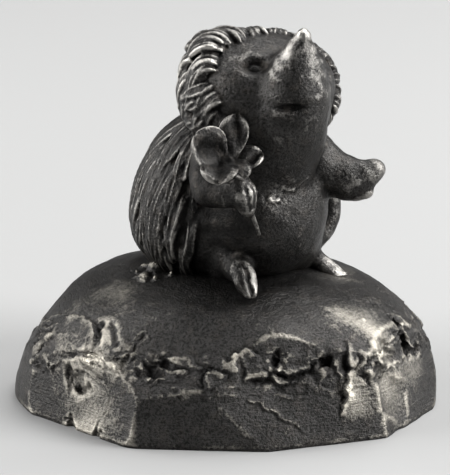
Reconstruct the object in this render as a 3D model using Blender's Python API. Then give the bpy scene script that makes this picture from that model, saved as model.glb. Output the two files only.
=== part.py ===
"""A cast pewter hedgehog that looks up and holds a flower, standing on a rocky plinth.

Two castings: the hedgehog, with its flower, and the rock. The frame has +Z up, -Y towards the
viewer, +X to the viewer's right, and its origin under the middle of the rock.
"""

import math
import random

import bmesh
import bpy
import numpy as np
from mathutils import Vector, noise

# Driving sizes, in metres
ROCK_WIDTH = 0.0468
ROCK_DEPTH = 0.0396
ROCK_HEIGHT = 0.0145
FIGURE_HEIGHT = 0.0295
SEAT_GAP = 0.0003

# Where the hedgehog stands on the rock, and the way it faces, turned from -Y towards +X
SEAT_RIGHT = 0.053 * ROCK_WIDTH
SEAT_BACK = 0.046 * ROCK_DEPTH
SEAT_SINK = 0.0007
FACING = math.radians(33)

# How finely the castings are modelled
CORE_VOXEL = 0.016 * FIGURE_HEIGHT
FIGURE_VOXEL = 0.0080 * FIGURE_HEIGHT
ROCK_VOXEL = 0.0090 * ROCK_WIDTH
FIGURE_TRIANGLES = 7000
ROCK_TRIANGLES = 3000

# The hedgehog's forms are given in hundredths of its height: forward, left and up from its seat
UNIT = FIGURE_HEIGHT / 100
HEAD_CENTRE = (7.9, 0.0, 68.7)
HEAD_RADII = (24.5, 29.2, 21.8)
FACE_CENTRE = (15.5, 0.0, 64.0)
FACE_RADII = (18.5, 23.5, 17.5)
SNOUT_BASE = (26.5, 0.0, 65.5)
SNOUT_TIP = (35.8, 0.0, 95.6)
EYE = (22.5, 11.9, 83.2)
MOUTH = (39.0, -8.0, 71.0)
NECK_CENTRE = (13.0, 0.0, 52.0)
NECK_RADII = (20.5, 20.5, 18.0)
CHEST_CENTRE = (10.0, 0.0, 45.0)
CHEST_RADII = (20.0, 21.0, 18.0)
PELT_CENTRE = (-11.0, 0.0, 18.0)
PELT_RADII = (32.5, 37.0, 41.0)
PELT_LOW_RADIUS = 26.0
BELLY_CENTRE = (6.8, 0.0, 24.7)
BELLY_RADII = (26.5, 26.0, 27.0)
CAPE = ((8, 28, 34), (9, 30, 27), (9.5, 31, 19.5), (10.5, 28, 13), (11.5, 22, 7.5))


def at(forward, left, up):
    """A point of the hedgehog, in its own frame: it faces -Y there."""
    return Vector((left, -forward, up)) * UNIT


def start_empty():
    """Removes whatever the file holds."""
    for item in list(bpy.data.objects):
        bpy.data.objects.remove(item)


def new_object(name, mesh):
    item = bpy.data.objects.new(name, mesh)
    bpy.context.scene.collection.objects.link(item)
    return item


def mesh_of(clay, name):
    mesh = bpy.data.meshes.new(name)
    clay.to_mesh(mesh)
    clay.free()
    return mesh


def evaluated(item):
    """The object's mesh with its modifiers applied. The object is removed."""
    bpy.context.view_layer.update()
    graph = bpy.context.evaluated_depsgraph_get()
    mesh = bpy.data.meshes.new_from_object(item.evaluated_get(graph))
    bpy.data.objects.remove(item)
    return mesh


def fused(mesh, voxel, smoothing):
    """One closed skin over every form in the mesh, with its creases softened."""
    item = new_object("clay", mesh)
    remesh = item.modifiers.new("Fuse", "REMESH")
    remesh.mode = "VOXEL"
    remesh.voxel_size = voxel
    if smoothing:
        smooth = item.modifiers.new("Soften", "SMOOTH")
        smooth.factor = 0.5
        smooth.iterations = smoothing
    return evaluated(item)


def coordinates(mesh):
    points = np.empty(len(mesh.vertices) * 3)
    mesh.vertices.foreach_get("co", points)
    return points.reshape(-1, 3)


def normals_of(mesh):
    normals = np.empty(len(mesh.vertices) * 3)
    mesh.vertex_normals.foreach_get("vector", normals)
    return normals.reshape(-1, 3)


def move_points(mesh, points):
    mesh.vertices.foreach_set("co", points.ravel())
    mesh.update()


def press(mesh, centre, radii, depth):
    """Presses a soft dent, or raises a bump where depth is negative, around a point."""
    points = coordinates(mesh)
    away = points - np.array(centre)
    reach = np.sum((away / np.array(radii)) ** 2, axis=1)
    fall = np.exp(-1.5 * reach**2)
    move_points(mesh, points - normals_of(mesh) * (fall * depth)[:, None])


def ellipsoid(clay, centre, radii, low_radius=None, detail=3):
    """Adds a ball with the radii forward, left and up. A low radius makes it an egg."""
    made = bmesh.ops.create_icosphere(clay, subdivisions=detail, radius=1.0)
    sizes = (radii[1] * UNIT, radii[0] * UNIT, radii[2] * UNIT)
    for vertex in made["verts"]:
        x, y, z = vertex.co
        height = low_radius * UNIT if low_radius and z < 0 else sizes[2]
        vertex.co = at(*centre) + Vector((x * sizes[0], y * sizes[1], z * height))


def sweep(clay, path, widths, heights, rises, sides=10):
    """Adds a closed form along a path: at each point an ellipse of that half-width and
    half-height, whose height lies along the point's rise."""
    rings = []
    last = len(path) - 1
    for i, point in enumerate(path):
        ahead = (path[min(i + 1, last)] - path[max(i - 1, 0)]).normalized()
        rise = (rises[i] - ahead * rises[i].dot(ahead)).normalized()
        side = ahead.cross(rise)
        ring = []
        for k in range(sides):
            angle = math.tau * k / sides
            offset = side * (widths[i] * math.cos(angle)) + rise * (heights[i] * math.sin(angle))
            ring.append(clay.verts.new(point + offset))
        rings.append(ring)
    for near, far in zip(rings, rings[1:]):
        for k in range(sides):
            after = (k + 1) % sides
            clay.faces.new((near[k], near[after], far[after], far[k]))
    clay.faces.new(list(reversed(rings[0])))
    clay.faces.new(rings[-1])


def smooth_path(points, count):
    """That many points along a Catmull-Rom curve through the points."""
    ends = [points[0] * 2 - points[1], *points, points[-1] * 2 - points[-2]]
    path = []
    for i in range(count):
        place = (len(points) - 1) * i / (count - 1)
        k = min(int(place), len(points) - 2)
        t = place - k
        a, b, c, d = ends[k : k + 4]
        path.append(
            0.5
            * (2 * b + (c - a) * t + (2 * a - 5 * b + 4 * c - d) * t**2 + (3 * b - a - 3 * c + d) * t**3)
        )
    return path


def limb(clay, points, radii, flat=1.0, rise=Vector((0, 0, 1)), sides=16):
    """Adds a rounded limb through the points. Its ends are domed, and flat narrows its height."""
    count = 4 * len(points)
    path = smooth_path([at(*p) for p in points], count)
    places = np.linspace(0, len(radii) - 1, count)
    widths = np.interp(places, range(len(radii)), radii) * UNIT
    start = path[0] - path[1]
    finish = path[-1] - path[-2]
    head = [path[0] + start.normalized() * widths[0] * s for s in (0.98, 0.8, 0.45)]
    tail = [path[-1] + finish.normalized() * widths[-1] * s for s in (0.45, 0.8, 0.98)]
    shrink = [math.sqrt(1 - s * s) for s in (0.98, 0.8, 0.45)]
    path = head + path + tail
    widths = np.concatenate(
        [widths[0] * np.array(shrink), widths, widths[-1] * np.array(shrink[::-1])]
    )
    sweep(clay, path, widths, widths * flat, [rise] * len(path), sides)


class Pelt:
    """A quilled surface: an egg whose quills flow along meridians away from a pole."""

    def __init__(self, centre, radii, pole, low_radius=None, tufts=()):
        self.centre = at(*centre)
        self.radii = (radii[1] * UNIT, radii[0] * UNIT, radii[2] * UNIT)
        self.low = low_radius * UNIT if low_radius else self.radii[2]
        self.tufts = [(at(*place), radius * UNIT, height * UNIT) for place, radius, height in tufts]
        self.pole = pole.normalized()
        front = Vector((0, -1, 0))
        self.ahead = (front - self.pole * front.dot(self.pole)).normalized()
        self.side = self.pole.cross(self.ahead)

    def surface(self, around, away):
        """The point and normal at an angle around the pole, from the front, and away from it."""
        ring = self.ahead * math.cos(around) + self.side * math.sin(around)
        unit = self.pole * math.cos(away) + ring * math.sin(away)
        height = self.low if unit.z < 0 else self.radii[2]
        sizes = Vector((self.radii[0], self.radii[1], height))
        point = self.centre + Vector(u * s for u, s in zip(unit, sizes))
        normal = Vector(u / s for u, s in zip(unit, sizes)).normalized()
        for place, radius, height in self.tufts:
            point = point + normal * height * math.exp(-(((point - place).length / radius) ** 2))
        return point, normal


def lock(clay, pelt, around, away, length, width, height, lift, bend):
    """Adds one tapering lock of quills: rooted in the pelt, swelling, and ending in a raised tip."""
    steps = 7
    path = []
    widths = []
    heights = []
    rises = []
    for i in range(steps + 1):
        t = i / steps
        point, normal = pelt.surface(around + bend * t * t, away + length * t)
        swell = math.sin(math.pi * min(1.0, 0.12 + 0.88 * t**0.85)) ** 0.7
        path.append(point + normal * UNIT * (lift * t**2 - 0.3 * height))
        widths.append(max(0.12, width * swell) * UNIT)
        heights.append(max(0.12, height * swell) * UNIT)
        rises.append(normal)
    sweep(clay, path, widths, heights, rises, sides=8)


def torso_forms(clay):
    """Head, face, neck, chest, belly, flanks and the swell under the quills."""
    ellipsoid(clay, HEAD_CENTRE, HEAD_RADII)
    ellipsoid(clay, (1, -14, 80.5), (11, 11, 10.5))
    ellipsoid(clay, FACE_CENTRE, FACE_RADII)
    ellipsoid(clay, NECK_CENTRE, NECK_RADII)
    ellipsoid(clay, CHEST_CENTRE, CHEST_RADII)
    ellipsoid(clay, BELLY_CENTRE, BELLY_RADII)
    ellipsoid(clay, PELT_CENTRE, PELT_RADII, PELT_LOW_RADIUS)
    for side in (-1, 1):
        ellipsoid(clay, (6.0, side * 13.0, 12.0), (17.0, 12.0, 16.0))
    snout_form(clay)


def snout_axis():
    return (at(*SNOUT_TIP) - at(*SNOUT_BASE)).normalized()


# The snout's distances back from the nose and its radii, then the throat's places and radii
SNOUT_PROFILE = ((0.5, 3.0), (2.5, 4.3), (6.7, 6.7), (10, 8.6), (14, 10.8), (19, 13.0), (25, 14.4))
THROAT = (((25.5, 0.0, 63.5), 15.4), ((21.0, 0.0, 55.0), 16.6), ((16.0, 0.0, 47.0), 17.0))


def snout_form(clay):
    """A snout that widens from a small round nose, and turns down into the throat."""
    axis = snout_axis()
    path = [at(*SNOUT_TIP) - axis * back * UNIT for back, _ in SNOUT_PROFILE]
    path += [at(*place) for place, _ in THROAT]
    radii = [radius * UNIT for _, radius in SNOUT_PROFILE + THROAT]
    sweep(clay, path, radii, radii, [Vector((1, 0, 0))] * len(path), sides=24)
    made = bmesh.ops.create_icosphere(clay, subdivisions=2, radius=3.2 * UNIT)
    for vertex in made["verts"]:
        vertex.co += at(*SNOUT_TIP)


def arm_forms(clay):
    """The right arm bends in to hold the flower's stem, and the left arm reaches out."""
    limb(clay, [(11, -22, 46), (20, -30, 40.0), (28, -28, 39.5)], [9.0, 6.6, 5.4])
    limb(clay, [(24, -29.0, 39.5), (29.5, -26.5, 41.0)], [5.6, 5.0])
    limb(clay, [(31.0, -24.8, 44.8), (33.0, -23.8, 39.6), (33.8, -22.8, 34.6)], [4.0, 5.4, 3.2])
    limb(clay, [(11, 14, 47), (18, 23, 38.0), (24, 29.0, 35.0)], [11.5, 9.0, 8.0])
    limb(clay, [(24, 29, 35.5), (28, 33.5, 37.0), (29.5, 36.5, 38.6)], [7.0, 5.8, 4.6])
    limb(clay, [(24, 28, 32.0), (27.5, 30.8, 31.0), (29.5, 32.6, 31.0)], [5.5, 4.2, 3.2])


def foot_forms(clay):
    """The right foot ends in two long toes, and the left foot is thin and splayed outwards."""
    limb(clay, [(15, -15, 7.0), (25, -19.4, 8.0), (31, -21.0, 4.5)], [6.5, 5.0, 3.8])
    limb(clay, [(25, -22.0, 9.2), (30.6, -23.6, 5.9), (34.3, -22.8, 1.9)], [3.2, 3.1, 1.9])
    limb(clay, [(24.5, -18.6, 10.0), (29.8, -18.3, 7.0), (34.7, -20.2, 1.8)], [3.2, 3.2, 2.0])
    limb(clay, [(8, 13, 8.0), (13, 18.4, 4.4), (19.0, 22.5, 0.6), (24.0, 24.6, -2.6)], [5.5, 4.2, 3.5, 2.7])
    for spread in (-1, 1):
        limb(clay, [(20.5, 23.2 + spread, 0.6), (25.4, 25.4 + 1.8 * spread, -3.0)], [2.1, 1.6])


def cape_form(clay):
    """The edge of the quills on the left flank, which stands out from the belly as a fold."""
    limb(clay, CAPE, [3.5, 4.0, 4.2, 4.0, 3.5])


def quill_locks(clay):
    """Rows of locks down the back and flanks, and over the head from the hairline to the nape."""
    dice = random.Random(4)
    back = Pelt(PELT_CENTRE, PELT_RADII, at(0.12, 0, 1).normalized(), PELT_LOW_RADIUS)
    rows = 4
    count = 17
    for row in range(rows):
        for i in range(count):
            share = (i + 0.5 * (row % 2) + 0.25 * dice.uniform(-1, 1)) / count
            around = math.radians(52 + 256 * share)
            away = math.radians(27 + 25 * row + dice.uniform(-5, 5))
            length = math.radians(41 + dice.uniform(-4, 5))
            lock(clay, back, around, away, length, 4.1, 3.6, 3.4, dice.uniform(-0.08, 0.08))
    head = Pelt(HEAD_CENTRE, HEAD_RADII, face_axis(), tufts=TUFTS)
    for row in range(3):
        for i in range(count):
            share = (i + 0.5 * (row % 2) + 0.25 * dice.uniform(-1, 1)) / count
            around = math.radians(48 + 264 * share)
            away = hairline(around) + math.radians(23 * row + dice.uniform(-3, 3))
            length = math.radians(33 + dice.uniform(-4, 4))
            lock(clay, head, around, away, length, 3.7, 3.0, 3.4, dice.uniform(-0.14, 0.14))


# Where the head's quills stand fuller: the place, the radius and the height
TUFTS = (((1, -17, 85), 11, 5.6), ((6, 27, 70), 13, 1.8))


def face_axis():
    """The way the face looks out of the head's quills."""
    return at(0.64, 0, 0.77).normalized()


def hairline(around):
    """How far from the face's axis the head's quills begin: close above, far at the jaws."""
    top = math.radians(47)
    jaw = math.radians(82)
    return top + (jaw - top) * (0.5 + 0.5 * math.cos(around)) ** 0.8


# The flower: its throat, and each petal's tip, half-width, sag and the way it faces. A petal with
# a negative sag droops.
FLOWER_THROAT = (29.5, -28.5, 50.5)
PETALS = (
    ((28.0, -41.5, 62.0), 8.6, 2.6, (0.85, -0.15, 0.45)),
    ((24.6, -20.8, 67.2), 5.6, 2.0, (0.80, -0.52, 0.15)),
    ((32.4, -14.8, 53.8), 5.4, 2.0, (0.50, -0.20, 0.80)),
    ((37.0, -26.0, 46.6), 5.4, -3.4, (0.20, -0.10, 0.97)),
    ((35.4, -37.0, 46.0), 6.4, -3.6, (0.20, -0.10, 0.97)),
)


def petal(clay, root, tip, facing, width, sag):
    """Adds a rounded petal from root to tip, hollow the way that it faces, with a thicker rim."""
    steps = 10
    sides = 10
    middle = (root + tip) / 2 - facing * sag * UNIT
    skins = ([], [])
    for i in range(steps + 1):
        t = i / steps
        point = root * (1 - t) ** 2 + middle * 2 * t * (1 - t) + tip * t**2
        ahead = ((middle - root) * (1 - t) + (tip - middle) * t).normalized()
        rise = (facing - ahead * facing.dot(ahead)).normalized()
        side = ahead.cross(rise)
        if t < 0.55:
            half = width * (0.4 + 0.6 * math.sin(0.5 * math.pi * t / 0.55))
        else:
            half = width * max(0.04, 1 - ((t - 0.55) / 0.45) ** 2.3) ** 0.5
        for sign, skin in zip((1, -1), skins):
            line = []
            for k in range(sides + 1):
                share = 2 * k / sides - 1
                cup = 0.26 * half * share**2
                thick = 1.0 + 0.4 * max(abs(share), 2.2 * t - 1.2, 0.0) ** 3
                place = point + (side * half * share + rise * (cup + sign * thick)) * UNIT
                line.append(clay.verts.new(place))
            skin.append(line)
    for sign, skin in zip((1, -1), skins):
        for near, far in zip(skin, skin[1:]):
            for k in range(sides):
                ring = (near[k], near[k + 1], far[k + 1], far[k])
                clay.faces.new(ring if sign > 0 else ring[::-1])
    upper, lower = (border_of(skin) for skin in skins)
    for k in range(len(upper)):
        after = (k + 1) % len(upper)
        clay.faces.new((upper[after], upper[k], lower[k], lower[after]))


def border_of(grid):
    """The points around a grid's edge, in order."""
    right = [line[-1] for line in grid[1:-1]]
    left = [line[0] for line in grid[1:-1]][::-1]
    return grid[0] + right + grid[-1][::-1] + left


def flower_forms(clay):
    """An open flower of five petals in the right paw, with a boss at its heart and a thin stem
    that comes out below the paw."""
    throat = at(*FLOWER_THROAT)
    for place, width, sag, facing in PETALS:
        tip = at(*place)
        petal(clay, throat.lerp(tip, 0.12), tip, at(*facing).normalized(), width, sag)
    ellipsoid(clay, FLOWER_THROAT, (4.4, 4.8, 4.0), detail=2)
    ellipsoid(clay, (32.2, -28.4, 53.6), (2.3, 2.3, 2.3), detail=2)
    stem = [(30.5, -27, 47), (32.5, -23.5, 40), (33.8, -21, 33), (33.4, -18.6, 28), (32.9, -16.8, 23.6)]
    limb(clay, stem, [3.0, 2.2, 1.2, 1.1, 1.1], sides=8)


def face_carving(mesh):
    """Sunken eyes with a raised rim and ball, and the mouth under the snout."""
    for side in (-1, 1):
        eye = at(EYE[0], side * EYE[1], EYE[2])
        radius = 2.8 * UNIT
        press(mesh, eye, (radius * 1.6,) * 3, -0.6 * UNIT)
        press(mesh, eye, (radius,) * 3, 2.2 * UNIT)
    press(mesh, at(*MOUTH), (4.6 * UNIT, 3.0 * UNIT, 2.0 * UNIT), 1.8 * UNIT)


def belly_crease(mesh):
    """The fold where the chest lies over the belly."""
    crease = at(31.0, 0, 37.0)
    press(mesh, crease, (15 * UNIT, 9 * UNIT, 1.6 * UNIT), 1.2 * UNIT)


def figure_mesh():
    clay = bmesh.new()
    torso_forms(clay)
    torso = fused(mesh_of(clay, "torso"), CORE_VOXEL, 14)
    clay = bmesh.new()
    clay.from_mesh(torso)
    snout_form(clay)
    arm_forms(clay)
    foot_forms(clay)
    cape_form(clay)
    core = fused(mesh_of(clay, "core"), CORE_VOXEL, 3)
    belly_crease(core)
    face_carving(core)
    clay = bmesh.new()
    clay.from_mesh(core)
    quill_locks(clay)
    flower_forms(clay)
    return fused(mesh_of(clay, "figure"), FIGURE_VOXEL, 2)


# The rock's outline at the floor: bearing from the front towards the right in degrees, and the
# radius as a share of half the width
OUTLINE = (
    (-180, 0.846), (-155, 0.855), (-130, 0.906), (-105, 0.966), (-84, 1.004), (-76, 0.983), (-68, 0.970),
    (-55, 0.923), (-40, 0.890), (-28, 0.893), (-8, 0.846), (13, 0.870), (19, 0.882), (33, 0.876),
    (44, 0.953), (51, 1.017), (63, 1.028), (71, 1.021), (85, 1.000), (105, 0.962), (130, 0.905),
    (155, 0.868), (180, 0.846),
)

# How full the rock's shoulder is, by bearing: the power in its profile
FULLNESS = ((-180, 4.4), (-130, 3.8), (-90, 1.9), (0, 3.0), (90, 2.9), (130, 3.2), (180, 4.4))

# Flat cuts in the rock: bearing, distance at the floor as a share of half the width, and lean
# from upright, both angles in degrees. The slopes are worn smooth and the facets stay crisp.
SLOPES = ((-12, 1.02, 42), (30, 1.19, 44), (-62, 1.17, 42))
FACETS = (
    (-43, 0.872, 13),
    (-4, 0.815, 9),
    (9, 0.850, 22),
    (18, 0.852, 15),
    (58, 0.975, 17),
    (126, 0.900, 24),
    (164, 0.845, 26),
    (-158, 0.850, 24),
    (-118, 0.935, 22),
)

# The outline's depth as a share of its width, and how far ROCK_DEPTH draws it from that
OUTLINE_DEPTH = 0.846
DEPTH_STRETCH = ROCK_DEPTH / (OUTLINE_DEPTH * ROCK_WIDTH)


def rock_radius(degrees, share):
    """The rock's radius at a bearing and a share of its height."""
    bearings, radii = zip(*OUTLINE)
    foot = np.interp(degrees, bearings, radii) * 0.5 * ROCK_WIDTH
    fullness = np.interp(degrees, *zip(*FULLNESS))
    return foot * max(0.0, 1 - max(0.0, share) ** fullness) ** 0.4


def rock_dome(clay):
    """A flat-topped dome, carried a little below the floor so that its underside is cut flat."""
    below = -0.15
    steps = 24
    sides = 90
    rings = []
    for i in range(steps):
        share = below + (1 - below) * math.sin(0.5 * math.pi * i / steps)
        ring = []
        for k in range(sides):
            degrees = -180 + 360 * k / sides
            level = bearing(degrees) * rock_radius(degrees, share)
            ring.append(clay.verts.new((level.x, DEPTH_STRETCH * level.y, ROCK_HEIGHT * share)))
        rings.append(ring)
    for low, high in zip(rings, rings[1:]):
        for k in range(sides):
            after = (k + 1) % sides
            clay.faces.new((low[k], low[after], high[after], high[k]))
    clay.faces.new(list(reversed(rings[0])))
    clay.faces.new(rings[-1])


def cut_away(clay, point, normal):
    """Cuts off what lies beyond a plane and closes the cut."""
    everything = clay.verts[:] + clay.edges[:] + clay.faces[:]
    cut = bmesh.ops.bisect_plane(
        clay, geom=everything, dist=1e-9, plane_co=point, plane_no=normal, clear_outer=True
    )
    edges = [item for item in cut["geom_cut"] if isinstance(item, bmesh.types.BMEdge)]
    bmesh.ops.contextual_create(clay, geom=edges)


def bearing(degrees):
    """A level direction, turned from the front towards the right."""
    angle = math.radians(degrees)
    return Vector((math.sin(angle), -math.cos(angle), 0))


def flat_cuts(clay, cuts):
    for degrees, distance, lean in cuts:
        level = bearing(degrees)
        tilt = math.radians(lean)
        point = level * distance * 0.5 * ROCK_WIDTH
        point.y *= DEPTH_STRETCH
        normal = level * math.cos(tilt) + Vector((0, 0, math.sin(tilt)))
        normal.y /= DEPTH_STRETCH
        cut_away(clay, point, normal.normalized())


# Hollows and, with a negative depth, knobs: bearing in degrees, then height, half-width,
# half-height and depth in hundredths of the rock's height
SCARS = (
    (-51, 68, 11, 10, 5),
    (-75, 50, 6, 11, -4),
    (-28, 50, 8, 6, 4),
    (20, 58, 4, 5, 4),
    (37, 54, 4, 4, 5),
    (53, 55, 7, 11, -2),
    (56, 23, 18, 19, 3),
    (71, 71, 6, 6, 4),
    (74, 45, 5, 5, 3),
    (98, 50, 14, 7, 5),
    (118, 72, 12, 8, 4),
    (158, 62, 9, 8, -4),
    (-158, 68, 12, 8, 5),
    (-124, 60, 8, 10, -4),
    (-104, 46, 12, 8, 5),
)

# Torn ledges: how far the side to the left of the path stands up, how deep the other side is cut,
# and how wide they are, in hundredths of the rock's height, then the path's bearings and heights
TORN_LEDGES = (
    (3.0, 4.0, 5, 7, ((-35, 48), (-39, 54), (-43, 58), (-48, 58), (-54, 52))),
    (3.0, 3.0, 7, 5, ((-54, 61), (-64, 72), (-71, 70), (-68, 63), (-62, 57))),
    (2.4, 4.0, 6, 6, ((4, 48), (12, 50), (21, 50), (29, 51), (37, 55), (41, 61))),
    (2.8, 2.0, 7, 5, ((14, 62), (11, 68), (4, 68), (0, 60))),
    (2.8, 2.0, 7, 5, ((1, 50), (-2, 53), (-7, 50), (-7, 41))),
    (3.8, 3.8, 9, 9, ((46, 64), (43, 52), (40, 41), (39, 29), (36, 17))),
    (2.0, 2.4, 7, 6, ((92, 44), (100, 49), (109, 46), (117, 50))),
    (2.0, 2.4, 7, 6, ((150, 55), (143, 50), (134, 53), (127, 48))),
    (2.0, 2.4, 7, 6, ((168, 42), (176, 47), (185, 44), (193, 50))),
    (2.0, 2.4, 7, 6, ((-122, 52), (-130, 47), (-139, 51), (-147, 46))),
    (2.0, 2.4, 7, 6, ((-108, 40), (-100, 46), (-92, 43), (-84, 47))),
)


def torn_ledge(mesh, up, down, up_reach, down_reach, path):
    """A torn step in the rock's side, raised to the left of a path and cut in on the other side."""
    unit = ROCK_HEIGHT / 100
    points = coordinates(mesh)
    middle = path[len(path) // 2][0]
    turned = np.degrees(np.arctan2(points[:, 0], -points[:, 1])) - middle
    turned = (turned + 180) % 360 - 180
    arc = np.radians(1.0) * np.hypot(points[:, 0], points[:, 1]) / unit
    level = points[:, 2] / unit
    signed = np.full(len(points), 1000.0)
    for (turn_a, level_a), (turn_b, level_b) in zip(path, path[1:]):
        across = (turned - (turn_a - middle)) * arc
        rise = level - level_a
        step_across, step_rise = (turn_b - turn_a) * arc, level_b - level_a
        span = step_across**2 + step_rise**2
        share = np.clip((across * step_across + rise * step_rise) / span, 0, 1)
        away = np.hypot(across - share * step_across, rise - share * step_rise)
        side = np.where(step_across * rise - step_rise * across > 0, 1.0, -1.0)
        signed = np.where(away < np.abs(signed), side * away, signed)
    high = up * np.exp(-((np.maximum(signed, 0) / up_reach) ** 2))
    low = -down * np.exp(-((np.maximum(-signed, 0) / down_reach) ** 2))
    shift = np.where(signed > 0, high, low) * unit
    move_points(mesh, points + normals_of(mesh) * shift[:, None])


def scar(mesh, degrees, height, half_width, half_height, depth):
    """Presses one hollow, or raises one knob, in the rock's side."""
    unit = ROCK_HEIGHT / 100
    points = coordinates(mesh)
    turned = np.degrees(np.arctan2(points[:, 0], -points[:, 1])) - degrees
    turned = (turned + 180) % 360 - 180
    along = np.radians(turned) * np.hypot(points[:, 0], points[:, 1]) / (half_width * unit)
    up = (points[:, 2] - height * unit) / (half_height * unit)
    fall = np.exp(-1.5 * (along**2 + up**2) ** 2)
    move_points(mesh, points - normals_of(mesh) * (fall * depth * unit)[:, None])


def torn_band(mesh):
    """A rough ledge around the rock below its smooth top: it steps out, with a hollow above."""
    unit = ROCK_HEIGHT / 100
    points = coordinates(mesh)
    shift = np.zeros(len(points))
    for i, (x, y, z) in enumerate(points):
        around = Vector((x, y, 0)).normalized() * 3.2
        line = 44 + 11 * noise.noise(around) + 6 * noise.noise(around * 3.1 + Vector((5, 0, 0)))
        strength = 0.75 + 0.9 * noise.noise(around * 1.4 + Vector((0, 7, 0)))
        above = z / unit - line
        step = math.exp(-(((above + 6) / 6) ** 2)) - 1.5 * math.exp(-(((above - 4) / 5) ** 2))
        rough = noise.noise(Vector((x, y, z)) / (15 * unit)) * math.exp(-((above / 22) ** 2))
        shift[i] = (1.2 * max(0.0, strength) * step + 2.6 * rough) * unit * min(1.0, z / (12 * unit))
    move_points(mesh, points + normals_of(mesh) * shift[:, None])


def rock_mesh():
    clay = bmesh.new()
    rock_dome(clay)
    flat_cuts(clay, SLOPES)
    worn = fused(mesh_of(clay, "rock"), 1.4 * ROCK_VOXEL, 24)
    clay = bmesh.new()
    clay.from_mesh(worn)
    flat_cuts(clay, FACETS)
    mesh = fused(mesh_of(clay, "rock"), ROCK_VOXEL, 1)
    torn_band(mesh)
    for values in TORN_LEDGES:
        torn_ledge(mesh, *values)
    for values in SCARS:
        scar(mesh, *values)
    return mesh


def reduced(mesh, triangles):
    """The mesh with about that many triangles."""
    item = new_object("clay", mesh)
    item.modifiers.new("Triangles", "TRIANGULATE")
    mesh.calc_loop_triangles()
    fewer = item.modifiers.new("Fewer", "DECIMATE")
    fewer.ratio = min(1.0, triangles / len(mesh.loop_triangles))
    return evaluated(item)


def flat_underside(mesh):
    """Cuts the rock flat at the floor, and brings the middle of its outline over the origin."""
    clay = bmesh.new()
    clay.from_mesh(mesh)
    cut_away(clay, Vector((0, 0, 0)), Vector((0, 0, -1)))
    mesh = mesh_of(clay, "rock_plinth")
    points = coordinates(mesh)
    middle = (points.min(axis=0) + points.max(axis=0)) / 2
    middle[2] = 0
    move_points(mesh, points - middle)
    return mesh


def pewter(name, colour, roughness):
    material = bpy.data.materials.new(name)
    material.use_nodes = True
    shader = material.node_tree.nodes["Principled BSDF"]
    shader.inputs["Base Color"].default_value = (*colour, 1)
    shader.inputs["Metallic"].default_value = 1.0
    shader.inputs["Roughness"].default_value = roughness
    return material


def make_rock():
    mesh = flat_underside(reduced(rock_mesh(), ROCK_TRIANGLES))
    rock = new_object("rock_plinth", mesh)
    rock.data.materials.append(pewter("rock_pewter", (0.16, 0.155, 0.15), 0.5))
    return rock


def rock_clearance(rock):
    """A cutter: the rock grown by the gap that the castings keep."""
    cutter = new_object("rock_clearance", rock.data.copy())
    grow = cutter.modifiers.new("Gap", "DISPLACE")
    grow.mid_level = 0
    grow.strength = SEAT_GAP
    cutter.hide_render = True
    cutter.display_type = "WIRE"
    return cutter


def make_figure(rock):
    """The hedgehog, its underside cut to the rock with the gap between the castings."""
    figure = new_object("hedgehog", reduced(figure_mesh(), FIGURE_TRIANGLES))
    figure.location = (SEAT_RIGHT, SEAT_BACK, ROCK_HEIGHT - SEAT_SINK)
    figure.rotation_euler = (0, 0, FACING)
    seat = figure.modifiers.new("Seat", "BOOLEAN")
    seat.operation = "DIFFERENCE"
    seat.object = rock_clearance(rock)
    figure.data.materials.append(pewter("hedgehog_pewter", (0.17, 0.165, 0.16), 0.42))
    return figure


def main():
    start_empty()
    rock = make_rock()
    make_figure(rock)


main()
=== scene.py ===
"""The looks of a cast pewter hedgehog with a flower, on its rock.

Both castings are modelled again, finely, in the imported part's frame, and stand for its nodes.
The frame has +Z up, -Y towards the viewer and +X to the viewer's right.
"""

import math
import random

import bmesh
import bpy
import numpy as np
from mathutils import Matrix, Vector, kdtree, noise


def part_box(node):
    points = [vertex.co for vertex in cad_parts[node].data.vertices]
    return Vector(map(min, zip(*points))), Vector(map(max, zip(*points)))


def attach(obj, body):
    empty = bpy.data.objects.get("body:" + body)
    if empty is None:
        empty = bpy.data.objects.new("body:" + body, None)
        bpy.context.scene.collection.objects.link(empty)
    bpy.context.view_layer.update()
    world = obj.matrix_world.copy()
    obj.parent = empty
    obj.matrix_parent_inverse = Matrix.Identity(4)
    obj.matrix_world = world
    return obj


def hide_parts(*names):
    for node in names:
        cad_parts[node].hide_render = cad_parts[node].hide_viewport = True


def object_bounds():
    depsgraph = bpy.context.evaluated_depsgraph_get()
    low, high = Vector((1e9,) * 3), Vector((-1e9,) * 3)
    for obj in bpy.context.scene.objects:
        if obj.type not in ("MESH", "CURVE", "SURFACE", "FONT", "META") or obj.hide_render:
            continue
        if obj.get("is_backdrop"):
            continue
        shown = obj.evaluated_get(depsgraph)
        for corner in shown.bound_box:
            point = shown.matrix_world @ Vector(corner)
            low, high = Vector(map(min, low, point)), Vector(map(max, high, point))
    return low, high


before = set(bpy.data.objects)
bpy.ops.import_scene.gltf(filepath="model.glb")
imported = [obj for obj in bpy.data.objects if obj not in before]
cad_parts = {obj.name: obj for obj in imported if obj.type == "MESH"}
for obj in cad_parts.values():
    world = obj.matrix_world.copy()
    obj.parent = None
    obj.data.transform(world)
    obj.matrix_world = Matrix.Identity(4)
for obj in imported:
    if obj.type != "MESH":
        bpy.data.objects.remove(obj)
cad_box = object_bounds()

# The part's driving sizes, in metres
ROCK_WIDTH = 0.0468
ROCK_DEPTH = 0.0396
ROCK_HEIGHT = 0.0145
FIGURE_HEIGHT = 0.0295
SEAT_RIGHT = 0.053 * ROCK_WIDTH
SEAT_BACK = 0.046 * ROCK_DEPTH
SEAT_SINK = 0.0007
FACING = math.radians(33)

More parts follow.
